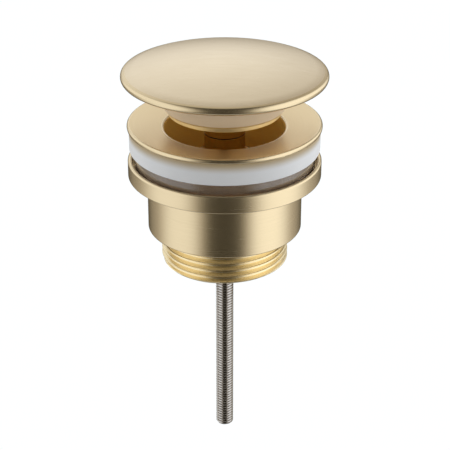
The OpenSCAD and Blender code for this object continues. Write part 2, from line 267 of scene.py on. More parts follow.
def relief(tree, shader, grain, strength, depth):
    """Feeds a grain into the shader's normal as a height."""
    bump = add_node(tree, 'ShaderNodeBump')
    bump.inputs["Strength"].default_value = strength
    bump.inputs["Distance"].default_value = depth
    link(tree, grain, bump.inputs["Height"])
    link(tree, bump.outputs["Normal"], shader.inputs["Normal"])


def turned_metal(name, dark, light, smooth, rough, metallic=1.0, stretch=0.45):
    """Metal brushed on the lathe: fine rings in its colour, gloss and relief."""
    material, tree, shader = new_material(name)
    lines = add_node(tree, 'ShaderNodeGroup', node_tree=LATHE_LINES).outputs["Lines"]
    link(tree, tone(tree, lines, dark, light), shader.inputs["Base Color"])
    link(tree, gloss(tree, lines, rough, smooth), shader.inputs["Roughness"])
    relief(tree, shader, lines, strength=0.04, depth=BRUSH_DEPTH)
    shader.inputs["Metallic"].default_value = metallic
    shader.inputs["Anisotropic"].default_value = stretch
    around = add_node(tree, 'ShaderNodeTangent', direction_type='RADIAL', axis='Z')
    link(tree, around.outputs[0], shader.inputs["Tangent"])
    return material


turned_gold = turned_metal(
    "turned_gold", dark=(0.75, 0.61, 0.39), light=(0.785, 0.642, 0.42), smooth=0.235, rough=0.275,
)
face_gold = turned_metal(
    "face_gold", dark=(0.78, 0.62, 0.375), light=(0.805, 0.645, 0.40), smooth=0.35, rough=0.39, stretch=0,
)
# Painted reflection: a deep orange, mostly diffuse copy of the satin gold, for the light that bounces
# between the gold walls of the throat.
throat_reflection_gold = turned_metal(
    "throat_reflection_gold", dark=(0.96, 0.645, 0.14), light=(1.0, 0.70, 0.18), smooth=0.5, rough=0.6, metallic=0.2,
)

flange = bmesh.new()
turn_on_lathe(flange, [
    (THROAT_R, TUBE_LOW), (TUBE_R, TUBE_LOW), (TUBE_R, underside(TUBE_R)),
    (FLANGE_R - FLANGE_CHAMFER, FLANGE_LOW), (FLANGE_R, FLANGE_LOW + FLANGE_CHAMFER),
    *arc(EDGE_CENTRE_R, FLANGE_TOP - EDGE_ROUND, EDGE_ROUND, 0, 90, steps=10),
    *arc(MOUTH_CENTRE_R, MOUTH_TOP - MOUTH_ROUND, MOUTH_ROUND, 90, 180, steps=8),
])
turn_on_lathe(flange, [
    (HUB_BORE_R, HUB_LOW), (HUB_R, HUB_LOW), (HUB_R, HUB_TOP), (HUB_BORE_R, HUB_TOP),
])
for angle in SPIDER_ANGLES:
    add_rib(
        flange, HUB_R - HUB_WALL / 2, THROAT_R + TUBE_WALL / 2, HUB_LOW, HUB_TOP - RIB_DROP, angle,
    )
soften_edges(flange, FLANGE_BREAK)
# The throat's faces get the painted reflection gold, and the dished face its own brushed gold.
flange_finishes = (turned_gold, throat_reflection_gold, face_gold)
for face in flange.faces:
    middle = face.calc_center_median()
    reach = off_axis(middle)
    below_mouth = middle.z < MOUTH_TOP - FLANGE_BREAK
    if below_mouth and reach < THROAT_R + FLANGE_BREAK:
        face.material_index = flange_finishes.index(throat_reflection_gold)
    elif not below_mouth and MOUTH_CENTRE_R < reach < EDGE_CENTRE_R:
        face.material_index = flange_finishes.index(face_gold)
make_piece("waste_flange_turned", flange, flange_finishes, "waste_body", "waste_flange")

# Flange gasket
# A thick ring of white rubber, moulded with a small round along its lower edge. It lies loose on the
# throat tube and is squeezed between the flange and the basin. Its upper edge is painted warm beige that
# fades downwards: painted shade under the flange and a painted reflection of its gold.
FREE_GAP = 0.3
GASKET_R, GASKET_LOW, _ = round_size("flange_gasket")
GASKET_BORE_R = TUBE_R + FREE_GAP
GASKET_ROUND = 0.8
GASKET_BREAK = 0.25
# Painted shade and painted gold reflection: a warm band along the gasket's upper edge, fading downwards.
BAND_DROP = 0.2
BAND_WIDTH = 3.4
BAND_TOP = FLANGE_LOW - BAND_DROP
BAND_LOW = BAND_TOP - BAND_WIDTH
SHADE_BAND_COLOUR = (0.56, 0.43, 0.25, 1)


def moulded_grain(tree, scale, detail):
    """Fine irregular grain of a moulded surface."""
    place = add_node(tree, 'ShaderNodeTexCoord')
    noise = add_node(tree, 'ShaderNodeTexNoise')
    noise.inputs["Scale"].default_value = scale
    noise.inputs["Detail"].default_value = detail
    link(tree, place.outputs["Object"], noise.inputs["Vector"])
    return noise.outputs["Fac"]


def fade(tree, value, start, end):
    """Rises softly from 0 to 1 as a value goes from start to end."""
    step = add_node(tree, 'ShaderNodeMapRange', interpolation_type='SMOOTHSTEP')
    step.inputs["From Min"].default_value = start
    step.inputs["From Max"].default_value = end
    link(tree, value, step.inputs["Value"])
    return step.outputs["Result"]


white_rubber, tree, shader = new_material("white_rubber")
clouds = moulded_grain(tree, scale=140, detail=3)
place = add_node(tree, 'ShaderNodeTexCoord')
height = add_node(tree, 'ShaderNodeSeparateXYZ')
# Mixes the painted shade band into the rubber's white towards the gasket's top.
painted_band = add_node(tree, 'ShaderNodeMix', data_type='RGBA')
painted_band.inputs["B"].default_value = SHADE_BAND_COLOUR
link(tree, place.outputs["Object"], height.inputs[0])
link(tree, fade(tree, height.outputs["Z"], BAND_LOW * MM, BAND_TOP * MM), painted_band.inputs["Factor"])
link(tree, tone(tree, clouds, dark=(0.90, 0.91, 0.935), light=(0.935, 0.94, 0.96)), painted_band.inputs["A"])
link(tree, painted_band.outputs["Result"], shader.inputs["Base Color"])
link(tree, gloss(tree, clouds, rough=0.62, smooth=0.5), shader.inputs["Roughness"])
relief(tree, shader, moulded_grain(tree, scale=2400, detail=2), strength=0.15, depth=0.05 * MM)

gasket = bmesh.new()
turn_on_lathe(gasket, [
    (GASKET_BORE_R, GASKET_LOW),
    *arc(GASKET_R - GASKET_ROUND, GASKET_LOW + GASKET_ROUND, GASKET_ROUND, -90, 0, steps=8),
    (GASKET_R, underside(GASKET_R)), (GASKET_BORE_R, underside(GASKET_BORE_R)),
])
soften_edges(gasket, GASKET_BREAK)
make_piece("flange_gasket_moulded", gasket, (white_rubber,), "waste_body", "flange_gasket")

# Cartridge barrel
# The brass housing of the press-to-latch mechanism. Its shoulder rests on the flange's hub, and its
# thick base is tapped for the rod.
CLOSE_GAP = 0.05
SHOULDER_R, BARREL_LOW, BARREL_TOP = round_size("cartridge_barrel")
SHOULDER_T = 2.0
SHOULDER_TOP = HUB_TOP + SHOULDER_T
BARREL_R = HUB_BORE_R - CLOSE_GAP
BARREL_WALL = 1.0
BARREL_BORE_R = BARREL_R - BARREL_WALL
BARREL_BASE_T = 5.2
BARREL_FLOOR = BARREL_LOW + BARREL_BASE_T
BARREL_BREAK = 0.2
ROD_R, ROD_LOW, ROD_TOP = round_size("threaded_rod")
TAPPED_R = ROD_R + CLOSE_GAP

# Brass, painted darker than bare brass as the shade that lies in the throat round the post.
post_brass = turned_metal(
    "post_brass", dark=(0.46, 0.30, 0.14), light=(0.55, 0.38, 0.20), smooth=0.18, rough=0.26,
)

housing = bmesh.new()
turn_on_lathe(housing, [
    (BARREL_BORE_R, BARREL_TOP), (BARREL_R, BARREL_TOP),
    (BARREL_R, SHOULDER_TOP), (SHOULDER_R, SHOULDER_TOP), (SHOULDER_R, HUB_TOP), (BARREL_R, HUB_TOP),
    (BARREL_R, BARREL_LOW), (TAPPED_R, BARREL_LOW),
    (TAPPED_R, BARREL_FLOOR), (BARREL_BORE_R, BARREL_FLOOR),
])
soften_edges(housing, BARREL_BREAK)
make_piece(
    "cartridge_barrel_turned", housing, (post_brass,), "waste_body", "cartridge_barrel",
)

# Spring seat and return spring
# A stamped steel disc over the rod's end, and the coil of hard-drawn wire that stands on it and lifts
# the cap. The coil's ends are ground flat, and it shortens as the cap is pressed.
SPRING_R, SPRING_LOW, SPRING_HIGH = round_size("return_spring")
SPRING_LENGTH = SPRING_HIGH - SPRING_LOW
SPRING_TURNS = 7.5
WIRE_R = 0.45
WIRE_SIDES = 12
COIL_STEPS = 32


def dress_cad(name, material):
    """Gives a CAD node that is shown as it is its material."""
    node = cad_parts[name]
    node.data.materials.clear()
    node.data.materials.append(material)


def drawn_steel(name, dark, light, smooth, rough):
    """Bright steel with faint drawing marks and patches of different gloss."""
    material, tree, shader = new_material(name)
    patches = moulded_grain(tree, scale=900, detail=4)
    link(tree, tone(tree, patches, dark, light), shader.inputs["Base Color"])
    link(tree, gloss(tree, patches, rough, smooth), shader.inputs["Roughness"])
    relief(tree, shader, patches, strength=0.1, depth=0.04 * MM)
    shader.inputs["Metallic"].default_value = 1
    return material


def cut_level(bm, low, high):
    """Cuts off what stands above and below two levels, and returns the open rims of both cuts."""
    for height, side in ((high, 1), (low, -1)):
        bmesh.ops.bisect_plane(
            bm, geom=[*bm.verts, *bm.edges, *bm.faces], plane_co=(0, 0, height), plane_no=(0, 0, side),
            clear_outer=True,
        )
    open_edges = [edge for edge in bm.edges if edge.is_boundary]
    return [
        [edge for edge in open_edges if abs(edge.verts[0].co.z - height) < 10 * WELD]
        for height in (low, high)
    ]


spring_steel = drawn_steel(
    "spring_steel", dark=(0.45, 0.43, 0.41), light=(0.58, 0.56, 0.53), smooth=0.28, rough=0.42,
)
dress_cad("spring_seat", spring_steel)

coil = bmesh.new()
wire = bmesh.ops.create_circle(coil, cap_ends=True, segments=WIRE_SIDES, radius=WIRE_R)["verts"]
upright = Matrix.Rotation(math.radians(90), 3, 'X')
bmesh.ops.rotate(coil, cent=(0, 0, 0), matrix=upright, verts=wire)
bmesh.ops.translate(coil, vec=(SPRING_R - WIRE_R, 0, SPRING_LOW), verts=wire)
wire_end = [*coil.faces, *coil.edges, *coil.verts]
sweep(coil, wire_end, SPRING_TURNS, int(COIL_STEPS * SPRING_TURNS), rise=SPRING_LENGTH)
for rim in cut_level(coil, SPRING_LOW, SPRING_HIGH):
    bmesh.ops.edgeloop_fill(coil, edges=rim)
coil_piece = make_piece("return_spring_coil", coil, (spring_steel,), "waste_body", "return_spring")
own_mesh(coil_piece)

# Cam sleeve and index rotor
# Moulded acetal: the sleeve is pushed into the barrel, and the rotor's lugs climb the ramped ends of its
# ribs and step round at each press.
acetal, tree, shader = new_material("acetal")
flow = moulded_grain(tree, scale=260, detail=3)
link(tree, tone(tree, flow, dark=(0.74, 0.72, 0.66), light=(0.82, 0.80, 0.74)), shader.inputs["Base Color"])
link(tree, gloss(tree, flow, rough=0.45, smooth=0.33), shader.inputs["Roughness"])
relief(tree, shader, flow, strength=0.08, depth=0.05 * MM)
dress_cad("cam_sleeve", acetal)
dress_cad("index_rotor", acetal)

# Plunger
# The lower half of the post: a brass turning that slides through the ring nut, with three keys milled
# on its foot that run in the sleeve's tracks. A fine slit shows where the collar is screwed onto it.
KEY_R, PLUNGER_LOW, PLUNGER_TOP = round_size("plunger")
KEY_H = 2.8
KEY_TOP = PLUNGER_LOW + KEY_H
KEY_STARTS = (25, 145, 265)
KEY_TURN = 50
KEY_STEPS = 16
POST_R, COLLAR_LOW, COLLAR_TOP = round_size("neck_collar")
KEY_ROOT = 1.0
KEY_ROOT_R = POST_R - KEY_ROOT
PLUNGER_BORE_R = 4.9
PLUNGER_BORE_DEPTH = 8.8
PLUNGER_BORE_TOP = PLUNGER_LOW + PLUNGER_BORE_DEPTH
_, STUD_LOW, STUD_TOP = round_size("cap_stud")
STUD_HOLE_LOW = STUD_LOW - CLOSE_GAP
SLIT = 0.14
SLIT_DEPTH = 0.3
SLIT_R = POST_R - SLIT_DEPTH
POST_BREAK = 0.04

joint_shadow = turned_metal(
    "joint_shadow", dark=(0.03, 0.018, 0.006), light=(0.05, 0.03, 0.012), smooth=0.6, rough=0.7,
)

plunger = bmesh.new()
turn_on_lathe(plunger, [
    (0, STUD_HOLE_LOW), (TAPPED_R, STUD_HOLE_LOW), (TAPPED_R, PLUNGER_TOP),
    (SLIT_R, PLUNGER_TOP), (SLIT_R, PLUNGER_TOP - SLIT), (POST_R, PLUNGER_TOP - SLIT),
    (POST_R, PLUNGER_LOW), (PLUNGER_BORE_R, PLUNGER_LOW),
    (PLUNGER_BORE_R, PLUNGER_BORE_TOP), (0, PLUNGER_BORE_TOP),
], closed=False)
key_corners = [
    (KEY_ROOT_R, PLUNGER_LOW), (KEY_R, PLUNGER_LOW), (KEY_R, KEY_TOP), (KEY_ROOT_R, KEY_TOP),
]
for start in KEY_STARTS:
    side = math.radians(start)
    end = plunger.faces.new([
        plunger.verts.new((r * math.cos(side), r * math.sin(side), z)) for r, z in key_corners
    ])
    sweep(plunger, [end, *end.edges, *end.verts], KEY_TURN / 360, KEY_STEPS)
soften_edges(plunger, POST_BREAK)
plunger_finishes = (post_brass, joint_shadow)
for face in plunger.faces:
    middle = face.calc_center_median()
    if middle.z > PLUNGER_TOP - SLIT and off_axis(middle) > TAPPED_R + POST_BREAK:
        face.material_index = plunger_finishes.index(joint_shadow)
make_piece("plunger_turned", plunger, plunger_finishes, "cap", "plunger")

# Ring nut and its wiper ring
# A brass ring screwed into the top of the barrel keeps the plunger in. A small rubber ring in its groove
# wipes the plunger.
dress_cad("gland_nut", post_brass)
seal_rubber, tree, shader = new_material("seal_rubber")
skin = moulded_grain(tree, scale=1800, detail=3)
link(tree, tone(tree, skin, dark=(0.66, 0.42, 0.15), light=(0.74, 0.50, 0.20)), shader.inputs["Base Color"])
link(tree, gloss(tree, skin, rough=0.7, smooth=0.5), shader.inputs["Roughness"])
relief(tree, shader, skin, strength=0.2, depth=0.04 * MM)
dress_cad("gland_oring", seal_rubber)

# Threaded rod
# An M6 steel rod with a rolled thread along its whole length, screwed into the barrel's base. Its lower
# tip is chamfered so that the lower body starts on it easily.
ROD_UNDERSIZE = 0.02
ROD_DEPTH = 0.56
ROD_CREST_R = ROD_R - ROD_UNDERSIZE
ROD_ROOT_R = ROD_CREST_R - ROD_DEPTH
ROD_PITCH = 1.0
ROD_FLANK_LOW = 0.12
ROD_FLANK_HIGH = 0.34
ROD_STEPS = 28
ROD_START = -1.5
ROD_TIP_R = 1.5
ROD_TIP_SLOPE = 1.6
SPARE_TURNS = 3


def cut_thread(bm, outline, pitch, low, high, steps, start):
    """Sweeps one pitch of a right-hand thread up the axis, from a start in pitches, and cuts it level."""
    turns = math.ceil((high - low) / pitch) + SPARE_TURNS
    points = [bm.verts.new((r, 0, low + start * pitch + z)) for r, z in outline]
    edges = [bm.edges.new(pair) for pair in zip(points, points[1:])]
    sweep(bm, points + edges, turns, steps * turns, rise=pitch * turns)
    return cut_level(bm, low, high)


def move_to_reach(vert, reach):
    """Moves a vertex straight in or out to a distance from the axis."""
    share = reach / off_axis(vert.co)
    vert.co.x *= share
    vert.co.y *= share


def chamfer_end(bm, low, tip_r, slope):
    """Draws in what stands outside a cone that opens upwards from the lower end."""
    for vert in bm.verts:
        limit = tip_r + slope * (vert.co.z - low)
        if off_axis(vert.co) > limit:
            move_to_reach(vert, limit)


rod_steel = drawn_steel(
    "rod_steel", dark=(0.55, 0.52, 0.495), light=(0.67, 0.64, 0.61), smooth=0.1, rough=0.15,
)

rod = bmesh.new()
rod_ends = cut_thread(rod, [
    (ROD_ROOT_R, 0), (ROD_ROOT_R, ROD_FLANK_LOW), (ROD_CREST_R, ROD_FLANK_HIGH),
    (ROD_CREST_R, ROD_PITCH - ROD_FLANK_HIGH), (ROD_ROOT_R, ROD_PITCH - ROD_FLANK_LOW),
    (ROD_ROOT_R, ROD_PITCH),
], ROD_PITCH, ROD_LOW, ROD_TOP, ROD_STEPS, ROD_START)
chamfer_end(rod, ROD_LOW, ROD_TIP_R, ROD_TIP_SLOPE)
for rim in rod_ends:
    bmesh.ops.edgeloop_fill(rod, edges=rim)
make_piece("threaded_rod_rolled", rod, (rod_steel,), "waste_body", "threaded_rod")

# Lock nut and spring washer
# A thin steel M6 hexagon nut that locks the rod against the barrel's base through a split spring washer,
# with the usual turned chamfers on its corners.
_, NUT_LOW, NUT_HIGH = round_size("rod_locknut")
NUT_SIDES = 6
NUT_FLAT_R = 5.0
NUT_CORNER_R = NUT_FLAT_R / math.cos(math.pi / NUT_SIDES)
NUT_CHAMFER_SLOPE = 0.58
NUT_CUTS = 7
NUT_BREAK = 0.1

nut = bmesh.new()
corners = bmesh.ops.create_circle(nut, segments=NUT_SIDES, radius=NUT_CORNER_R)["verts"]
sides = list({edge for vert in corners for edge in vert.link_edges})
bmesh.ops.subdivide_edges(nut, edges=sides, cuts=NUT_CUTS)
bmesh.ops.create_circle(nut, segments=NUT_SIDES * (NUT_CUTS + 1), radius=TAPPED_R)
bmesh.ops.bridge_loops(nut, edges=nut.edges)
bmesh.ops.translate(nut, vec=(0, 0, NUT_LOW), verts=nut.verts)
raised = bmesh.ops.extrude_face_region(nut, geom=nut.faces[:])["geom"]
raised_verts = [item for item in raised if isinstance(item, bmesh.types.BMVert)]
bmesh.ops.translate(nut, vec=(0, 0, NUT_HIGH - NUT_LOW), verts=raised_verts)
for vert in nut.verts:
    inward = 1 if vert.co.z < (NUT_LOW + NUT_HIGH) / 2 else -1
    vert.co.z += inward * NUT_CHAMFER_SLOPE * max(0, off_axis(vert.co) - NUT_FLAT_R)
soften_edges(nut, NUT_BREAK)
make_piece("rod_locknut_hex", nut, (rod_steel,), "waste_body", "rod_locknut")
dress_cad("rod_washer", rod_steel)

# Lower gasket
# A ring of clear soft rubber that stands on the cup's floor and meets the basin from below. The gold tube
# behind it shows through, and the rubber's colour is also painted warm brown as a painted reflection of it.
SOFT_RING_R, SOFT_RING_LOW, SOFT_RING_TOP = round_size("lower_gasket")
SOFT_RING_BORE_R = TUBE_R + 3 * FREE_GAP
SOFT_RING_BREAK = 0.5
SOFT_RING_STEPS = 3

clear_rubber, tree, shader = new_material("clear_rubber")
haze = moulded_grain(tree, scale=420, detail=3)
# Painted reflection: a warm brown base colour for the gold tube seen through the clear ring.
link(tree, tone(tree, haze, dark=(0.76, 0.55, 0.37), light=(0.82, 0.64, 0.48)), shader.inputs["Base Color"])
link(tree, gloss(tree, haze, rough=0.12, smooth=0.05), shader.inputs["Roughness"])
relief(tree, shader, haze, strength=0.12, depth=0.12 * MM)
shader.inputs["Transmission Weight"].default_value = 0.74
shader.inputs["IOR"].default_value = 1.43
shader.inputs["Coat Weight"].default_value = 1
shader.inputs["Coat Roughness"].default_value = 0.04

soft_ring = bmesh.new()
turn_on_lathe(soft_ring, [
    (SOFT_RING_BORE_R, SOFT_RING_LOW), (SOFT_RING_R, SOFT_RING_LOW),
    (SOFT_RING_R, SOFT_RING_TOP), (SOFT_RING_BORE_R, SOFT_RING_TOP),
])
soften_edges(soft_ring, SOFT_RING_BREAK, SOFT_RING_STEPS)
make_piece("lower_gasket_soft", soft_ring, (clear_rubber,), "clamp_gasket", "lower_gasket")

# Lower body
# Cup, barrel and tail are one brass turning in the same satin gold as the flange. The tail has a male
# G 1 1/4 pipe thread with rounded crests, and a ribbed hub inside it screws along the rod.
CUP_R, TAIL_LOW, CUP_TOP = round_size("lower_body")
CUP_FLOOR = SOFT_RING_LOW
CUP_H = 5.8
CUP_LOW = CUP_TOP - CUP_H
CUP_LIP = 0.8
CUP_INNER_R = CUP_R - 2 * CUP_LIP
CUP_ROUND = 0.4
BODY_BORE_R = TUBE_R + 2 * FREE_GAP
BODY_WALL = 2.9
BODY_R = BODY_BORE_R + BODY_WALL
BODY_H = 18.5
BODY_LOW = CUP_LOW - BODY_H
BODY_ROUND = 0.5
LEDGE_T = 2.4
LEDGE = BODY_LOW + LEDGE_T
TAIL_D = 41.91
TAIL_CREST_R = TAIL_D / 2
TAIL_PITCH = 2.309
TAIL_DEPTH = 1.479
TAIL_SHARPNESS = 1.5
TAIL_WALL = 2.95
TAIL_BORE_R = TAIL_CREST_R - TAIL_WALL
TAIL_CHAMFER = 1.0
TAIL_TIP_R = TAIL_CREST_R - TAIL_CHAMFER
TAIL_TIP_SLOPE = 1.0
TAIL_WAVE_POINTS = 14
TAIL_STEPS = 120
TAIL_START = -1.7
SCREW_HUB_R = 7.0
SCREW_HUB_H = 7.6
SCREW_HUB_TOP = TAIL_LOW + SCREW_HUB_H
RIB_ROOT = 1.0

# Painted light and reflection: a lighter, more saturated copy of the satin gold, for the light that the
# thread's flanks throw at each other.
thread_lit_gold = turned_metal(
    "thread_lit_gold", dark=(0.91, 0.755, 0.465), light=(0.95, 0.80, 0.515), smooth=0.24, rough=0.3,
)


def thread_reach(share):
    """Radius of the tail's wavy thread at a share of its pitch, with crests narrower than a sine's."""
    return TAIL_CREST_R - TAIL_DEPTH * (1 - (0.5 + 0.5 * math.sin(math.tau * share)) ** TAIL_SHARPNESS)


lower_body = bmesh.new()
wave_shares = [step / TAIL_WAVE_POINTS for step in range(TAIL_WAVE_POINTS + 1)]
thread_wave = [(thread_reach(share), TAIL_PITCH * share) for share in wave_shares]
bore_rims = []
for rim in cut_thread(lower_body, thread_wave, TAIL_PITCH, TAIL_LOW, BODY_LOW, TAIL_STEPS, TAIL_START):
    made = bmesh.ops.extrude_edge_only(lower_body, edges=rim)["geom"]
    for vert in (item for item in made if isinstance(item, bmesh.types.BMVert)):
        move_to_reach(vert, TAIL_BORE_R)
    bore_rims += [item for item in made if isinstance(item, bmesh.types.BMEdge) and item.is_boundary]
bmesh.ops.bridge_loops(lower_body, edges=bore_rims)
chamfer_end(lower_body, TAIL_LOW, TAIL_TIP_R, TAIL_TIP_SLOPE)
# The thread's faces get the lighter painted copy of the gold.
body_finishes = (turned_gold, thread_lit_gold)
for face in lower_body.faces:
    face.material_index = body_finishes.index(thread_lit_gold)
turn_on_lathe(lower_body, [
    (BODY_BORE_R, CUP_FLOOR), (CUP_INNER_R, CUP_FLOOR),
    *arc(CUP_R - CUP_LIP, CUP_TOP - CUP_LIP, CUP_LIP, 180, 0, steps=12),
    *arc(CUP_R - CUP_ROUND, CUP_LOW + CUP_ROUND, CUP_ROUND, 0, -90, steps=8),
    (BODY_R, CUP_LOW), *arc(BODY_R - BODY_ROUND, BODY_LOW + BODY_ROUND, BODY_ROUND, 0, -90, steps=6),
    (TAIL_BORE_R, BODY_LOW), (TAIL_BORE_R, LEDGE), (BODY_BORE_R, LEDGE),
])
turn_on_lathe(lower_body, [
    (TAPPED_R, TAIL_LOW), (SCREW_HUB_R, TAIL_LOW), (SCREW_HUB_R, SCREW_HUB_TOP), (TAPPED_R, SCREW_HUB_TOP),
])
for angle in SPIDER_ANGLES:
    add_rib(
        lower_body, SCREW_HUB_R - RIB_ROOT, TAIL_BORE_R + RIB_ROOT,
        TAIL_LOW + RIB_DROP, SCREW_HUB_TOP - RIB_DROP, angle,
    )
make_piece("lower_body_turned", lower_body, body_finishes, "clamp_body", "lower_body")

# Neck collar and cap stud
# The collar is the upper half of the post, a plain brass tube turned to the plunger's diameter. The
# steel stud inside it screws into the plunger below and the cap above.
collar = bmesh.new()
turn_on_lathe(collar, [
    (TAPPED_R, COLLAR_LOW), (SLIT_R, COLLAR_LOW), (SLIT_R, COLLAR_LOW + SLIT),
    (POST_R, COLLAR_LOW + SLIT), (POST_R, COLLAR_TOP), (TAPPED_R, COLLAR_TOP),
])
soften_edges(collar, POST_BREAK)
make_piece("neck_collar_turned", collar, (post_brass,), "cap", "neck_collar")
dress_cad("cap_stud", rod_steel)

# Cap skirt
# The cove-shaped underside of the cap, turned from brass with the plug lip and the tapped boss. Its hem
# is gripped by the rolled rim of the dome.
HEM_R, LIP_LOW, HEM_TOP = round_size("cap_skirt")
HEM_T = 0.7
HEM_LOW = HEM_TOP - HEM_T
CAP_R, ROLL_LOW, CROWN = round_size("cap_dome")
ROLL_R = 1.45
ROLL_CENTRE_R = CAP_R - ROLL_R
ROLL_CENTRE = ROLL_LOW + ROLL_R
HEM_GRIP = math.sqrt(ROLL_R ** 2 - (ROLL_CENTRE - HEM_LOW) ** 2)
SEAL_R, LIP_TOP, SKIRT_LOW = round_size("cap_seal")
SEAL_SHOWS = 0.7
SEAL_HELD = 0.7
LIP_R = SEAL_R - SEAL_SHOWS
SEAL_BORE_R = LIP_R - SEAL_HELD
SKIRT_WALL = 1.4
SKIRT_FLOOR = SKIRT_LOW + SKIRT_WALL
SKIRT_STEP = 1.3
COVE_FOOT_R = LIP_R + SKIRT_STEP
COVE_TOP_R = ROLL_CENTRE_R - HEM_GRIP - CLOSE_GAP
COVE_RUN = (COVE_TOP_R - COVE_FOOT_R) / (HEM_LOW - SKIRT_LOW)
COVE_BOW = 2.0
COVE_STEPS = 28
CONE_INSET = (SKIRT_WALL + COVE_BOW) * math.hypot(1, COVE_RUN)
BOSS_R = 8.0
STUD_PLAY = 0.25
STUD_HOLE_TOP = STUD_TOP + STUD_PLAY
BOSS_TOP = STUD_HOLE_TOP + SKIRT_WALL
SKIRT_BREAK = 0.12


def cone_reach(z):
    """Radius of the skirt's inner cone at a height, a wall's thickness inside the cove's bow."""
    return COVE_FOOT_R + COVE_RUN * (z - SKIRT_LOW) - CONE_INSET


def bowed(start, end, bow, steps):
    """Points of an arc from start to end, bowed to the right of the straight way between them."""
    chord = Vector(end) - Vector(start)
    radius = (chord.length ** 2 / 4 + bow ** 2) / (2 * bow)
    leftward = Vector((-chord.y, chord.x)).normalized()
    centre = (Vector(start) + Vector(end)) / 2 + leftward * (radius - bow)
    bearings = [math.degrees(math.atan2(z - centre.y, r - centre.x)) for r, z in (start, end)]
    return arc(centre.x, centre.y, radius, *bearings, steps)


# Painted reflection: a pale, nearly diffuse copy of the satin gold, for the pale surroundings that the cove
# reflects.
cove_reflection_gold = turned_metal(
    "cove_reflection_gold", dark=(0.95, 0.775, 0.565), light=(0.99, 0.82, 0.61), smooth=0.45, rough=0.52,
    metallic=0.05,
)
# Painted light: a lighter, more golden copy of the satin gold, for the light that the lip catches.
lip_lit_gold = turned_metal(
    "lip_lit_gold", dark=(0.90, 0.685, 0.345), light=(0.95, 0.745, 0.41), smooth=0.28, rough=0.34, metallic=0.6,
)

skirt = bmesh.new()
turn_on_lathe(skirt, [
    (0, BOSS_TOP), (BOSS_R, BOSS_TOP), (BOSS_R, SKIRT_FLOOR), (cone_reach(SKIRT_FLOOR), SKIRT_FLOOR),
    (cone_reach(HEM_TOP), HEM_TOP), (HEM_R, HEM_TOP), (HEM_R, HEM_LOW),
    *bowed((COVE_TOP_R, HEM_LOW), (COVE_FOOT_R, SKIRT_LOW), COVE_BOW, COVE_STEPS),
    (SEAL_BORE_R, SKIRT_LOW), (SEAL_BORE_R, LIP_TOP), (LIP_R, LIP_TOP), (LIP_R, LIP_LOW),
    (TAPPED_R, LIP_LOW), (TAPPED_R, STUD_HOLE_TOP), (0, STUD_HOLE_TOP),
], closed=False)
soften_edges(skirt, SKIRT_BREAK)
# The lip's underside gets the throat's painted reflection gold, the lip its lighter painted copy, and the
# rest the painted cove gold.
skirt_finishes = (cove_reflection_gold, lip_lit_gold, throat_reflection_gold)
for face in skirt.faces:
    height = face.calc_center_median().z
    if height < LIP_LOW + SKIRT_BREAK:
        face.material_index = skirt_finishes.index(throat_reflection_gold)
    elif height < SKIRT_LOW:
        face.material_index = skirt_finishes.index(lip_lit_gold)
make_piece("cap_skirt_turned", skirt, skirt_finishes, "cap", "cap_skirt")

# Cap seal
# A thin flat ring of brown rubber pushed into the groove between skirt and lip, so that only its edge
# shows as a darker line.
SEAL_INNER_R = SEAL_BORE_R + CLOSE_GAP
SEAL_BREAK = 0.15

seal = bmesh.new()
turn_on_lathe(seal, [
    (SEAL_INNER_R, LIP_TOP), (SEAL_R, LIP_TOP), (SEAL_R, SKIRT_LOW), (SEAL_INNER_R, SKIRT_LOW),
])
soften_edges(seal, SEAL_BREAK)
make_piece("cap_seal_ring", seal, (seal_rubber,), "cap", "cap_seal")

# Cap dome
# A pressed brass disc with a low crown, whose edge is rolled round the skirt's hem. Its top is brushed in
# straight strokes before plating, so its marks all run one way.
ROLL_RISE = CROWN - ROLL_CENTRE
DOME_R = (ROLL_CENTRE_R ** 2 + ROLL_RISE ** 2 - ROLL_R ** 2) / (2 * (ROLL_RISE - ROLL_R))
DOME_CENTRE = CROWN - DOME_R
DOME_WALL = 1.4
DOME_INNER_R = DOME_R - DOME_WALL
EDGE_START_R = 29.0
EDGE_R = 20.0
RIM_R = 1.3
RIM_CENTRE_R = CAP_R - RIM_R
BRUSH_TURN = 14
BRUSH_FINENESS = (90, 2600, 600)

cap_gold, tree, shader = new_material("cap_gold")
place = add_node(tree, 'ShaderNodeTexCoord')
along = add_node(tree, 'ShaderNodeMapping')
along.inputs["Rotation"].default_value = (0, 0, math.radians(BRUSH_TURN))
along.inputs["Scale"].default_value = BRUSH_FINENESS
strokes = add_node(tree, 'ShaderNodeTexNoise')
strokes.inputs["Scale"].default_value = 1
strokes.inputs["Detail"].default_value = BRUSH_DETAIL
strokes.inputs["Roughness"].default_value = BRUSH_ROUGHNESS
link(tree, place.outputs["Object"], along.inputs["Vector"])
link(tree, along.outputs["Vector"], strokes.inputs["Vector"])
marks = strokes.outputs["Fac"]
gold = tone(tree, marks, dark=(0.78, 0.652, 0.462), light=(0.80, 0.672, 0.484))
link(tree, gold, shader.inputs["Base Color"])
link(tree, gloss(tree, marks, rough=0.36, smooth=0.27), shader.inputs["Roughness"])
relief(tree, shader, marks, strength=0.015, depth=0.04 * MM)
shader.inputs["Metallic"].default_value = 1

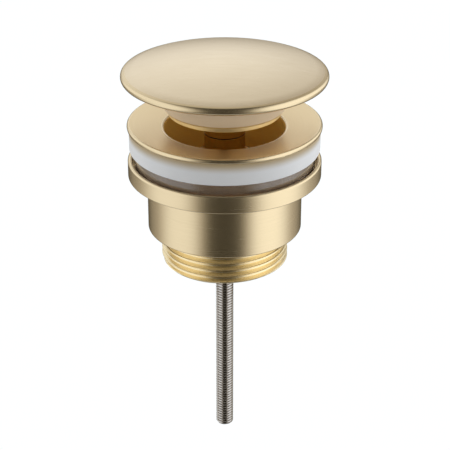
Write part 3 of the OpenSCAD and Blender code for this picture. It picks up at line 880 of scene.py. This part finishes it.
# The crown's arc runs into a tighter edge arc, this into the rim's, and the rim's ends on the inner arc.
edge_bearing = math.acos(EDGE_START_R / DOME_R)
edge_centre_r = EDGE_START_R * (DOME_R - EDGE_R) / DOME_R
edge_centre_z = DOME_CENTRE + (DOME_R - EDGE_R) * math.sin(edge_bearing)
rim_bearing = math.acos((RIM_CENTRE_R - edge_centre_r) / (EDGE_R - RIM_R))
rim_centre_z = edge_centre_z + (EDGE_R - RIM_R) * math.sin(rim_bearing)
rim_rise = rim_centre_z - DOME_CENTRE
rim_reach = math.hypot(RIM_CENTRE_R, rim_rise)
meeting = math.acos((DOME_INNER_R ** 2 - rim_reach ** 2 - RIM_R ** 2) / (2 * rim_reach * RIM_R))
rim_end = math.atan2(rim_rise, RIM_CENTRE_R) + meeting - math.tau
inner_bearing = math.acos((RIM_CENTRE_R + RIM_R * math.cos(rim_end)) / DOME_INNER_R)
edge_bearing, rim_bearing, rim_end, inner_bearing = (
    math.degrees(bearing) for bearing in (edge_bearing, rim_bearing, rim_end, inner_bearing)
)

dome = bmesh.new()
turn_on_lathe(dome, [
    *arc(0, DOME_CENTRE, DOME_R, 90, edge_bearing, steps=24),
    *arc(edge_centre_r, edge_centre_z, EDGE_R, edge_bearing, rim_bearing, steps=10)[1:],
    *arc(RIM_CENTRE_R, rim_centre_z, RIM_R, rim_bearing, rim_end, steps=36)[1:],
    *arc(0, DOME_CENTRE, DOME_INNER_R, inner_bearing, 90, steps=16)[1:],
], closed=False)
dome_finishes = (cap_gold, turned_gold)
for face in dome.faces:
    if off_axis(face.calc_center_median()) > RIM_CENTRE_R:
        face.material_index = dome_finishes.index(turned_gold)
make_piece("cap_dome_pressed", dome, dome_finishes, "cap", "cap_dome")

# Studio
# A pale floor well below the hanging part, a soft room with bright panels at the sides and behind, dark
# towards the camera, and the camera at the photograph's angle.
FLOOR_Z = -0.36
FLOOR_R = 0.32
FLOOR_SIDES = 96
FLOOR_GLOW = (0.86, 0.86, 0.86, 1)
CAMERA_PLACE = (0.0001, -0.43, 0.1841)
CAMERA_PITCH = 26.28
CAMERA_LENS = 115.28
CAMERA_SENSOR = 36

floor_shape = bmesh.new()
bmesh.ops.create_circle(floor_shape, cap_ends=True, segments=FLOOR_SIDES, radius=FLOOR_R)
bmesh.ops.translate(floor_shape, vec=(0, 0, FLOOR_Z), verts=floor_shape.verts)
floor_mesh = bpy.data.meshes.new("floor")
floor_shape.to_mesh(floor_mesh)
floor_shape.free()
floor = bpy.data.objects.new("floor", floor_mesh)
bpy.context.scene.collection.objects.link(floor)
floor_paint, tree, shader = new_material("floor_paint")
paper = moulded_grain(tree, scale=30, detail=2)
link(tree, tone(tree, paper, dark=(0.6, 0.6, 0.6), light=(0.62, 0.62, 0.62)), shader.inputs["Base Color"])
shader.inputs["Roughness"].default_value = 0.9
shader.inputs["Emission Color"].default_value = FLOOR_GLOW
rays = add_node(tree, 'ShaderNodeLightPath')
link(tree, rays.outputs["Is Camera Ray"], shader.inputs["Emission Strength"])
floor_mesh.materials.append(floor_paint)


def dim(tree, light, where, loss):
    """Takes a share off a light where a mask is full."""
    return compute(tree, 'MULTIPLY', light, compute(tree, 'MULTIPLY_ADD', where, -loss, 1))


# Each fade goes by one part of the direction: to the right, forward from the camera, or up.
SIDE_FADE = (0.32, 0.74)
SIDE_LEVEL = 1.19
SIDE_TILT = 0.13
BEHIND_FADE = (-0.12, 0.55)
BELOW_FADE = (0.0, -0.2)
BEHIND_BELOW_LOSS = 0.7
BACK_FADE = (-0.02, 0.5)
BACK_RISE_FADE = (-0.18, 0.3)
BACK_LEVEL = 1.11
OVERHEAD_FADE = (0.42, 0.95)
OVERHEAD_LOSS = 0.4
RIGHT_FADE = (0.0, 0.5)
RIGHT_LOSS = 0.6126
LEFT_FADE = (0.0, -0.5)
LEFT_LOSS = 0.14
PANEL_LEVEL = 0.96
DARK_LEVEL = 0.045
ROOM_LEVEL = 1.04
DARK_TINT = (1, 0.87, 0.6, 1)
HALF_TINT = (0.98, 0.935, 0.85, 1)
BRIGHT_TINT = (0.96, 0.985, 1, 1)

world = bpy.data.worlds.new("soft_room")
bpy.context.scene.world = world
world.use_nodes = True
tree = world.node_tree
background = tree.nodes["Background"]
toward = add_node(tree, 'ShaderNodeTexCoord')
ways = add_node(tree, 'ShaderNodeSeparateXYZ')
link(tree, toward.outputs["Generated"], ways.inputs[0])
rightward, forward, upward = ways.outputs
side_panels = fade(tree, compute(tree, 'ABSOLUTE', rightward), *SIDE_FADE)
behind_below = compute(
    tree, 'MULTIPLY', fade(tree, forward, *BEHIND_FADE), fade(tree, upward, *BELOW_FADE),
)
side_panels = dim(tree, side_panels, behind_below, BEHIND_BELOW_LOSS)
side_level = compute(tree, 'MULTIPLY_ADD', rightward, SIDE_TILT, SIDE_LEVEL)
side_panels = compute(tree, 'MULTIPLY', side_panels, side_level)
back_panel = compute(
    tree, 'MULTIPLY', fade(tree, forward, *BACK_FADE), fade(tree, upward, *BACK_RISE_FADE),
)
back_panel = dim(tree, back_panel, fade(tree, upward, *OVERHEAD_FADE), OVERHEAD_LOSS)
back_panel = dim(tree, back_panel, fade(tree, rightward, *RIGHT_FADE), RIGHT_LOSS)
back_panel = dim(tree, back_panel, fade(tree, rightward, *LEFT_FADE), LEFT_LOSS)
back_panel = compute(tree, 'MULTIPLY', back_panel, BACK_LEVEL)
panels = compute(tree, 'MAXIMUM', side_panels, back_panel)
room = compute(tree, 'MULTIPLY_ADD', panels, PANEL_LEVEL, DARK_LEVEL)
rays = add_node(tree, 'ShaderNodeLightPath')
ground = compute(tree, 'MAXIMUM', rays.outputs["Is Camera Ray"], rays.outputs["Is Transmission Ray"])
seen = compute(tree, 'MAXIMUM', room, ground)
warmth = add_node(tree, 'ShaderNodeValToRGB')
warmth.color_ramp.elements[0].color = DARK_TINT
warmth.color_ramp.elements[1].color = BRIGHT_TINT
warmth.color_ramp.elements.new(0.5).color = HALF_TINT
link(tree, seen, warmth.inputs["Fac"])
link(tree, warmth.outputs["Color"], background.inputs["Color"])
link(tree, compute(tree, 'MULTIPLY', seen, ROOM_LEVEL), background.inputs["Strength"])

camera_data = bpy.data.cameras.new("camera")
camera_data.lens = CAMERA_LENS
camera_data.sensor_width = CAMERA_SENSOR
camera = bpy.data.objects.new("camera", camera_data)
camera.location = CAMERA_PLACE
camera.rotation_euler = (math.radians(90 - CAMERA_PITCH), 0, 0)
bpy.context.scene.collection.objects.link(camera)
bpy.context.scene.camera = camera
bpy.context.scene.view_settings.view_transform = 'Standard'
